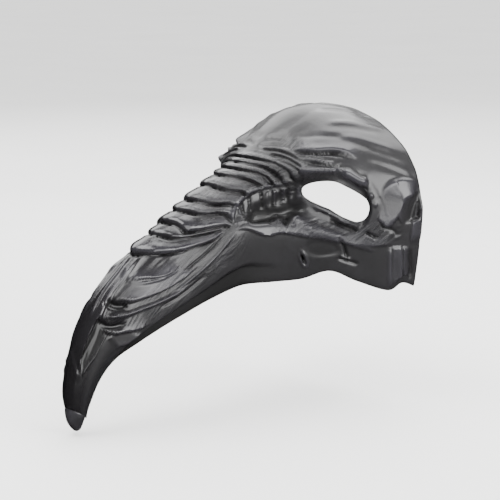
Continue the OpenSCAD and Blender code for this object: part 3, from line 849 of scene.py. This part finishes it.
def build_shell():
    sizes = bpy.context.scene.bird_mask
    bm = bmesh.new()
    shell_half(bm, sizes)
    inside_layer = bm.verts.layers.float_vector["inside"]
    bmesh.ops.mirror(bm, geom=bm.verts[:] + bm.edges[:] + bm.faces[:], merge_dist=0.00001, axis="X")
    for v in bm.verts:
        if v.co.x < 0:
            v[inside_layer] = v[inside_layer] * Vector((-1, 1, 1))
    rim = [e for e in bm.edges if e.is_boundary]
    skin_faces = bm.faces[:]
    lining = bmesh.ops.duplicate(bm, geom=bm.verts[:] + bm.edges[:] + skin_faces)["geom"]
    lining_verts = verts_in(lining)
    bmesh.ops.reverse_faces(bm, faces=[g for g in lining if isinstance(g, bmesh.types.BMFace)])
    edge_verts = verts_in(bmesh.ops.extrude_edge_only(bm, edges=rim)["geom"])
    lining_layer = bm.verts.layers.float["lining"]
    raised_layer = bm.verts.layers.float["raised"]
    for v in lining_verts + edge_verts:
        v.co = v[inside_layer]
        v[raised_layer] = LINING_RAISED
        v[lining_layer] = 1
    bmesh.ops.remove_doubles(bm, verts=edge_verts + [v for v in lining_verts if v.is_boundary], dist=0.000001)
    face_outwards(bm)
    inner = [i for i, v in enumerate(bm.verts) if v[lining_layer] > 0.5]
    triangles = 2 * len(bm.faces)
    piece = as_object(bm, "shell_moulding", moulded_pvc("moulded_pvc", True), 78)
    group = piece.vertex_groups.new(name="lining")
    group.add(inner, 1.0, "REPLACE")
    thin = piece.modifiers.new("lining", "DECIMATE")
    thin.vertex_group = "lining"
    thin.ratio = SHELL_TRIANGLES / triangles
    apply_modifiers(piece)
    piece.vertex_groups.clear()
    return stand_in(piece, "mask", "shell_pvc", "mask_shell")


# ---------------- the beak's tip

# Rings of the tip: forward, height, half width, half depth and lean in degrees
TIP_RINGS = (
    (174.8, -105, 3.2, 3.0, 25), (174.4, -109, 3.5, 3.4, 28), (173.8, -114.6, 4.2, 3.6, 30),
)
TIP_OUTSIDE = (
    (173.8, -114.6, 7.3, 6.0, 30), (173.9, -115.2, 7.45, 6.15, 30), (174.1, -116.6, 7.1, 6.0, 28),
    (174.3, -118.6, 6.3, 5.5, 24), (174.2, -120.6, 5.5, 5.0, 19), (174.1, -122, 4.75, 4.4, 15),
    (173.7, -123.6, 3.8, 3.6, 11), (173.3, -124.8, 2.9, 2.8, 8), (173.0, -125.7, 1.9, 1.9, 3),
    (172.8, -126.3, 0.9, 0.9, 0),
)


def ring_matrix(forward, height, half_width, half_depth, lean):
    """Takes a unit circle to one ring of the tip, in metres."""
    tilt = math.radians(lean)
    return Matrix((
        (half_width * MM, 0, 0, 0),
        (0, half_depth * math.cos(tilt) * MM, 0, -forward * MM),
        (0, -half_depth * math.sin(tilt) * MM, MM, height * MM),
        (0, 0, 0, 1),
    ))


def loft_rings(bm, matrices, segments):
    """A tube through a unit circle placed by each matrix, closed at both ends."""
    first = bmesh.ops.create_circle(bm, cap_ends=False, segments=segments, radius=1)["verts"]
    bmesh.ops.transform(bm, matrix=matrices[0], verts=first)
    edges = list({e for v in first for e in v.link_edges})
    bmesh.ops.contextual_create(bm, geom=edges)
    for before, after in zip(matrices, matrices[1:]):
        made = bmesh.ops.extrude_edge_only(bm, edges=edges)["geom"]
        verts = verts_in(made)
        edges = [g for g in made if isinstance(g, bmesh.types.BMEdge)
                 and all(v in verts for v in g.verts)]
        bmesh.ops.transform(bm, matrix=after @ before.inverted(), verts=verts)
    bmesh.ops.contextual_create(bm, geom=edges)
    face_outwards(bm)


def build_tip():
    rings = [*smooth_rows(TIP_RINGS, 6), *smooth_rows(TIP_OUTSIDE, 34)]
    bm = bmesh.new()
    loft_rings(bm, [ring_matrix(*ring) for ring in rings], 64)
    piece = as_object(bm, "tip_cap", moulded_pvc("moulded_pvc_tip", False), 50)
    return stand_in(piece, "mask", "tip_pvc", "beak_tip")


# ---------------- pads inside the shell

# Pads: name, first and last station, first and last column, node, and whether it is on the far side
PADS = (
    ("brow_cushion", 2.2, 3.4, -1.0, 1.0, "brow_pad", False),
    ("nose_cushion", 4.6, 5.5, -1.4, 1.4, "nose_pad", False),
    ("cheek_cushion_left", 3.1, 4.3, 3.9, 4.7, "cheek_pad_left", False),
    ("cheek_cushion_right", 3.1, 4.3, 3.9, 4.7, "cheek_pad_right", True),
)
# Power of the pads' rounded outline, and their share of the space given
PAD_ROUNDNESS = 4.5
PAD_FILLS = 0.98
# Thickness at the edge, how far the pad sinks into the lining, and how far its crown stays short of
# its full thickness, in millimetres
PAD_EDGE = 1.2
PAD_BOND = 0.25
PAD_SHORT = 0.2
# The stitched seam: depth in millimetres, place from the middle at 0 to the edge at 1, and width
PAD_SEAM = (0.5, 0.86, 0.03)


def pad_places(s, c):
    """Skin points and normals for columns on both sides of the middle."""
    side = np.where(c < 0, -1.0, 1.0)
    p = skin(s, np.abs(c))
    n = skin_normals(s, np.abs(c))
    p[:, 0] *= side
    n[:, 0] *= side
    return p, n


def build_pad(name, s0, s1, c0, c1, node, mirrored):
    """A crowned pad with a stitched seam near its edge, bonded to the lining."""
    sizes = bpy.context.scene.bird_mask
    bm = bmesh.new()
    bmesh.ops.create_grid(bm, x_segments=36, y_segments=36, size=1)
    unit = np.array([v.co[:2] for v in bm.verts])
    edge = np.maximum(np.abs(unit[:, 0]), np.abs(unit[:, 1]))
    corner = (np.abs(unit) ** PAD_ROUNDNESS).sum(1) ** (1 / PAD_ROUNDNESS)
    unit *= (edge / np.maximum(corner, 1e-6))[:, None] * PAD_FILLS
    s = (s0 + s1) / 2 + unit[:, 0] * (s1 - s0) / 2
    c = (c0 + c1) / 2 + unit[:, 1] * (c1 - c0) / 2
    p, n = pad_places(s, c)
    crown = (1 - edge**2.5) ** 0.45
    seam = PAD_SEAM[0] * np.exp(-((edge - PAD_SEAM[1]) / PAD_SEAM[2]) ** 2)
    bond = sizes.wall - PAD_BOND
    bonded = p - bond * n
    thick = PAD_EDGE + (sizes.pad_thick - PAD_EDGE - PAD_SHORT) * crown - seam
    face = p - (bond + thick)[:, None] * n
    skin_faces = bm.faces[:]
    face_layer = bm.verts.layers.float_vector.new("face")
    for v, b, f in zip(bm.verts, bonded * MM, face * MM):
        v.co = b
        v[face_layer] = f
    made = bmesh.ops.extrude_face_region(bm, geom=skin_faces, use_keep_orig=True)["geom"]
    for v in verts_in(made):
        v.co = v[face_layer]
    if mirrored:
        bmesh.ops.scale(bm, vec=(-1, 1, 1), verts=bm.verts[:])
    face_outwards(bm)
    material = bpy.data.materials.get("laminated_foam") or laminated_foam()
    piece = as_object(bm, name, material, 80)
    return stand_in(piece, "mask", "foam", node)


# ---------------- the head strap

PIVOT = Vector(next(j for j in frame["joints"] if j["name"] == "strap_swing")["pos_m"]) / MM
BAND_LOW, BAND_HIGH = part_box("elastic_strap")
BAND_WIDTH = (BAND_HIGH.y - BAND_LOW.y) / MM
BAND_THICK = 1.2
BAND_X = BAND_HIGH.x / MM - BAND_THICK / 2
LEG = 17
BEND_RADIUS = 24
BEND_ANGLE = math.radians(80)
BEND_RUN = BEND_RADIUS * BEND_ANGLE
# Where the bend runs into the long shallow sag behind the head
SAG_X = BAND_X - BEND_RADIUS * (1 - math.cos(BEND_ANGLE))
SAG_Z = PIVOT.z - LEG - BEND_RADIUS * math.sin(BEND_ANGLE)
SAG_RADIUS = SAG_X / math.cos(BEND_ANGLE)
HALF_RUN = LEG + BEND_RUN + SAG_RADIUS * (math.pi / 2 - BEND_ANGLE)
EYELET_BORE = 2.58
EYELET_WALL = 0.7
TAB_RADIUS = BAND_WIDTH / 2
FLANGE_RADIUS = 5
RIB_PITCH = 1.4
RIB_HIGH = 0.05


def band_point(run):
    """Place and inward direction of the band's middle line at a run from the left pivot, in X and Z."""
    if run <= LEG:
        return Vector((BAND_X, 0, PIVOT.z - run)), Vector((-1, 0, 0))
    if run <= LEG + BEND_RUN:
        a = (run - LEG) / BEND_RADIUS
        inward = Vector((-math.cos(a), 0, math.sin(a)))
        return Vector((BAND_X - BEND_RADIUS, 0, PIVOT.z - LEG)) - BEND_RADIUS * inward, inward
    a = (HALF_RUN - run) / SAG_RADIUS
    inward = Vector((-math.sin(a), 0, math.cos(a)))
    centre = Vector((0, 0, SAG_Z + SAG_RADIUS * math.sin(BEND_ANGLE)))
    return centre - SAG_RADIUS * inward, inward


def build_strap():
    bm = bmesh.new()
    flow_layer = bm.verts.layers.float_vector.new("flow")
    bmesh.ops.create_grid(bm, x_segments=150, y_segments=24, size=1)
    for v in bm.verts:
        across = v.co.y * BAND_WIDTH / 2
        run = -TAB_RADIUS + (v.co.x + 1) / 2 * (HALF_RUN + TAB_RADIUS)
        if run < 0:
            run *= math.sqrt(max(0, TAB_RADIUS**2 - across**2)) / TAB_RADIUS
        place, inward = band_point(run)
        rib = RIB_HIGH * math.cos(across * 2 * math.pi / RIB_PITCH)
        v[flow_layer] = (run, across, 0)
        v.co = Vector((place.x, PIVOT.y + across, place.z)) + inward * rib
    bmesh.ops.remove_doubles(bm, verts=bm.verts[:], dist=0.02)
    bmesh.ops.mirror(bm, geom=bm.verts[:] + bm.edges[:] + bm.faces[:], merge_dist=0.02, axis="X")
    bmesh.ops.scale(bm, vec=(MM, MM, MM), verts=bm.verts[:])
    face_outwards(bm)
    piece = as_object(bm, "woven_band", braided_elastic(), 50)
    thick = piece.modifiers.new("thickness", "SOLIDIFY")
    thick.thickness = BAND_THICK * MM
    thick.offset = 0
    cutter_bm = bmesh.new()
    bmesh.ops.create_cone(cutter_bm, cap_ends=True, segments=48, radius1=EYELET_BORE + EYELET_WALL,
                          radius2=EYELET_BORE + EYELET_WALL, depth=4 * BAND_X)
    bmesh.ops.rotate(cutter_bm, matrix=Matrix.Rotation(math.pi / 2, 3, "Y"), verts=cutter_bm.verts[:])
    bmesh.ops.translate(cutter_bm, vec=(0, PIVOT.y, PIVOT.z), verts=cutter_bm.verts[:])
    bmesh.ops.scale(cutter_bm, vec=(MM, MM, MM), verts=cutter_bm.verts[:])
    cutter = as_object(cutter_bm, "eyelet_hole", piece.data.materials[0])
    hole = piece.modifiers.new("eyelet_holes", "BOOLEAN")
    hole.operation = "DIFFERENCE"
    hole.object = cutter
    apply_modifiers(piece)
    bpy.data.objects.remove(cutter)
    return stand_in(piece, "strap", "elastic", "elastic_strap")


# ---------------- eyelets

def lathe(bm, profile, segments=48):
    """Spins a closed profile of (x, radius) round the pivot line on the wearer's left."""
    verts = [bm.verts.new((x, PIVOT.y + r, PIVOT.z)) for x, r in profile]
    edges = [bm.edges.new((a, b)) for a, b in zip(verts, verts[1:] + verts[:1])]
    bmesh.ops.spin(bm, geom=verts + edges, cent=(0, PIVOT.y, PIVOT.z), axis=(1, 0, 0),
                   angle=2 * math.pi, steps=segments, use_merge=True)
    bmesh.ops.remove_doubles(bm, verts=bm.verts[:], dist=0.0001)


def arc(x, r, radius, start, end, count=6):
    """Points of an arc about (x, r), angles in degrees."""
    angles = [math.radians(start + (end - start) * k / count) for k in range(count + 1)]
    return [(x + radius * math.cos(a), r + radius * math.sin(a)) for a in angles]


def eyelet_profile():
    """A barrel whose rolled rims bear on both faces of the band."""
    face = BAND_THICK / 2
    rim = 0.3
    half = [(face + rim, EYELET_BORE), (face + 2 * rim, EYELET_BORE + rim),
            *arc(face + rim, FLANGE_RADIUS - rim, rim, 0, 180), (face, EYELET_BORE + EYELET_WALL)]
    return [(BAND_X + x, r) for x, r in half] + [(BAND_X - x, r) for x, r in reversed(half)]


def build_eyelet(side):
    bm = bmesh.new()
    lathe(bm, eyelet_profile())
    bmesh.ops.scale(bm, vec=(MM * (1 if side == "left" else -1), MM, MM), verts=bm.verts[:])
    face_outwards(bm)
    material = bpy.data.materials.get("nickel_plate")
    if not material:
        material = plated_metal("nickel_plate", "#a8a398", "#cfcac0", 0.2, 0.34)
    piece = as_object(bm, "rolled_eyelet_" + side, material, 35)
    return stand_in(piece, "strap", "nickel", "strap_eyelet_" + side)


# ---------------- stage

CAMERA_AZIMUTH = math.radians(50)
CAMERA_ELEVATION = math.radians(10)
CAMERA_DISTANCE = 1.1
CAMERA_LENS = 121.2
AIM_RIGHT = -0.0281
AIM_UP = -0.035
FLOOR_REACH = 40


def view_axes():
    """Directions to the camera, to its right and up."""
    sa, ca = math.sin(CAMERA_AZIMUTH), math.cos(CAMERA_AZIMUTH)
    se, ce = math.sin(CAMERA_ELEVATION), math.cos(CAMERA_ELEVATION)
    return (Vector((sa * ce, -ca * ce, se)), Vector((ca, sa, 0)), Vector((-sa * se, ca * se, ce)))


def build_camera():
    back, right, up = view_axes()
    data = bpy.data.cameras.new("camera")
    data.lens = CAMERA_LENS
    data.sensor_width = 36
    camera = new_object("camera", data)
    place = Matrix((right, up, back)).transposed().to_4x4()
    place.translation = back * CAMERA_DISTANCE + right * AIM_RIGHT + up * AIM_UP
    camera.matrix_world = place
    bpy.context.scene.camera = camera


def build_floor():
    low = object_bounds()[0][2]
    bm = bmesh.new()
    bmesh.ops.create_grid(bm, x_segments=2, y_segments=2, size=FLOOR_REACH)
    bmesh.ops.translate(bm, vec=(0, 0, low - 0.002), verts=bm.verts[:])
    material = new_material("painted_board")
    mottle = cloudy(material, 250, 3)
    dress(material, {"Base Color": ramp(material, mottle, (0.3, "#f4f4f3"), (0.7, "#f8f8f7")),
                     "Roughness": 0.85, "IOR": 1.45})
    floor = as_object(bm, "floor", material)
    floor.visible_glossy = False
    floor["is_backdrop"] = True


def area_light(name, place, target, size, power, colour="#ffffff"):
    data = bpy.data.lights.new(name, "AREA")
    data.shape = "RECTANGLE"
    data.size, data.size_y = size
    data.energy = power
    data.color = linear(colour)[:3]
    lamp = new_object(name, data)
    way = Vector(place) - Vector(target)
    lamp.visible_camera = False
    lamp.matrix_world = Matrix.Translation(place) @ way.to_track_quat("Z", "Y").to_matrix().to_4x4()


def build_lights(power):
    """Soft boxes overhead, to the right, behind and, dimmer, by the camera; the room only fills."""
    back, right, up = view_axes()
    aim = Vector((0, -0.06, -0.03))
    for name, across, above, nearer, size, watts in (
            ("top_box", 0.35, 1.1, -0.3, (1.1, 0.9), 16),
            ("top_left_box", -0.5, 1.0, 0.2, (1.0, 0.5), 11),
            ("right_box", 1.1, 0.35, 0.85, (0.8, 0.9), 18),
            ("front_box", 0.4, 0.4, 1.6, (1.5, 1.4), 24),
            ("rear_box", -0.4, 1.25, -1.3, (1.8, 1.0), 18)):
        area_light(name, aim + right * across + up * above + back * nearer, aim, size, watts * power)
    world = bpy.data.worlds.new("studio")
    world.use_nodes = True
    background = world.node_tree.nodes["Background"]
    background.inputs["Color"].default_value = linear("#ffffff")
    background.inputs["Strength"].default_value = 1.9
    world.cycles_visibility.glossy = False
    bpy.context.scene.world = world


# ---------------- add-on

def amount(name, description, default, low, high, subtype="NONE"):
    return bpy.props.FloatProperty(name=name, description=description, default=default, min=low, max=high,
                                   subtype=subtype)


def colour(name, description, default):
    return bpy.props.FloatVectorProperty(name=name, description=description, default=default,
                                         min=0, max=1, subtype="COLOR_GAMMA")


class BirdMaskSettings(bpy.types.PropertyGroup):
    wall: amount("Wall", "Thickness of the moulding in millimetres", 2.6, 1.8, 3.0)
    plates: amount("Plates", "Height of the bridge's plates", 1.0, 0, 1.5, "FACTOR")
    gloss: amount("Gloss", "How much of the satin lacquer shows", 0.35, 0, 1, "FACTOR")
    # Painted shade: the colour in the grooves is darker than the PVC
    hollow_shade: colour("Hollows", "Colour in the grooves", (0.03, 0.029, 0.033))
    black: colour("Black", "Colour of the PVC", (0.1, 0.098, 0.107))
    worn: colour("Worn", "Colour of the rubbed ridges", (0.165, 0.162, 0.175))
    pad_thick: amount("Pads", "Thickness of the pads in millimetres", 6.0, 3, 6)


class BirdMaskStage(bpy.types.PropertyGroup):
    light: amount("Light", "Strength of the soft boxes", 1.0, 0, 3, "FACTOR")


class BIRD_MASK_OT_camera(bpy.types.Operator):
    """Places the camera three quarters from the front, a little above the eyes"""
    bl_idname = "bird_mask.camera"
    bl_label = "Camera"

    def execute(self, context):
        build_camera()
        return {"FINISHED"}


class BIRD_MASK_OT_shell(bpy.types.Operator):
    """Moulds the sculpted shell"""
    bl_idname = "bird_mask.shell"
    bl_label = "Shell"

    def execute(self, context):
        build_shell()
        return {"FINISHED"}


class BIRD_MASK_OT_tip(bpy.types.Operator):
    """Makes the plain cap on the end of the beak"""
    bl_idname = "bird_mask.tip"
    bl_label = "Beak tip"

    def execute(self, context):
        build_tip()
        return {"FINISHED"}


class BIRD_MASK_OT_pads(bpy.types.Operator):
    """Makes the four foam pads behind the brow, nose and cheeks"""
    bl_idname = "bird_mask.pads"
    bl_label = "Pads"

    def execute(self, context):
        for pad in PADS:
            build_pad(*pad)
        return {"FINISHED"}


class BIRD_MASK_OT_strap(bpy.types.Operator):
    """Makes the elastic head strap and its eyelets"""
    bl_idname = "bird_mask.strap"
    bl_label = "Strap"

    def execute(self, context):
        build_strap()
        build_eyelet("left")
        build_eyelet("right")
        return {"FINISHED"}


class BIRD_MASK_OT_hardware(bpy.types.Operator):
    """Gives the strap's anchors, washers and screws their finishes"""
    bl_idname = "bird_mask.hardware"
    bl_label = "Hardware"

    def execute(self, context):
        nylon = moulded_nylon()
        zinc = plated_metal("zinc_plate", "#8d9094", "#b9bcbf", 0.26, 0.42)
        for side in ("left", "right"):
            for node, material in (("strap_anchor_", nylon), ("anchor_washer_", zinc),
                                   ("anchor_screw_", zinc)):
                for slot in frame["nodes"][node + side].material_slots:
                    slot.material = material
        return {"FINISHED"}


class BIRD_MASK_OT_stage(bpy.types.Operator):
    """Lays the pale floor and hangs the soft boxes"""
    bl_idname = "bird_mask.stage"
    bl_label = "Stage"

    def execute(self, context):
        build_floor()
        build_lights(context.scene.bird_mask_stage.light)
        return {"FINISHED"}


class BIRD_MASK_PT_panel(bpy.types.Panel):
    """Shows the mask's settings and the buttons that build its pieces"""
    bl_label = "Bird Skull Mask"
    bl_idname = "BIRD_MASK_PT_panel"
    bl_space_type = "VIEW_3D"
    bl_region_type = "UI"
    bl_category = "Mask"

    def draw(self, context):
        for settings in (context.scene.bird_mask, context.scene.bird_mask_stage):
            for name in settings.__annotations__:
                self.layout.prop(settings, name)
        for operator in OPERATORS:
            self.layout.operator(operator.bl_idname)


OPERATORS = (BIRD_MASK_OT_camera, BIRD_MASK_OT_shell, BIRD_MASK_OT_tip, BIRD_MASK_OT_pads,
             BIRD_MASK_OT_strap, BIRD_MASK_OT_hardware, BIRD_MASK_OT_stage)
CLASSES = (BirdMaskSettings, BirdMaskStage, *OPERATORS, BIRD_MASK_PT_panel)


def register():
    for cls in CLASSES:
        bpy.utils.register_class(cls)
    bpy.types.Scene.bird_mask = bpy.props.PointerProperty(type=BirdMaskSettings)
    bpy.types.Scene.bird_mask_stage = bpy.props.PointerProperty(type=BirdMaskStage)


def unregister():
    del bpy.types.Scene.bird_mask_stage
    del bpy.types.Scene.bird_mask
    for cls in reversed(CLASSES):
        bpy.utils.unregister_class(cls)


def main():
    register()
    bpy.ops.bird_mask.camera()
    bpy.ops.bird_mask.shell()
    bpy.ops.bird_mask.tip()
    bpy.ops.bird_mask.pads()
    bpy.ops.bird_mask.strap()
    bpy.ops.bird_mask.hardware()
    bpy.ops.bird_mask.stage()


if __name__ == "__main__":
    main()
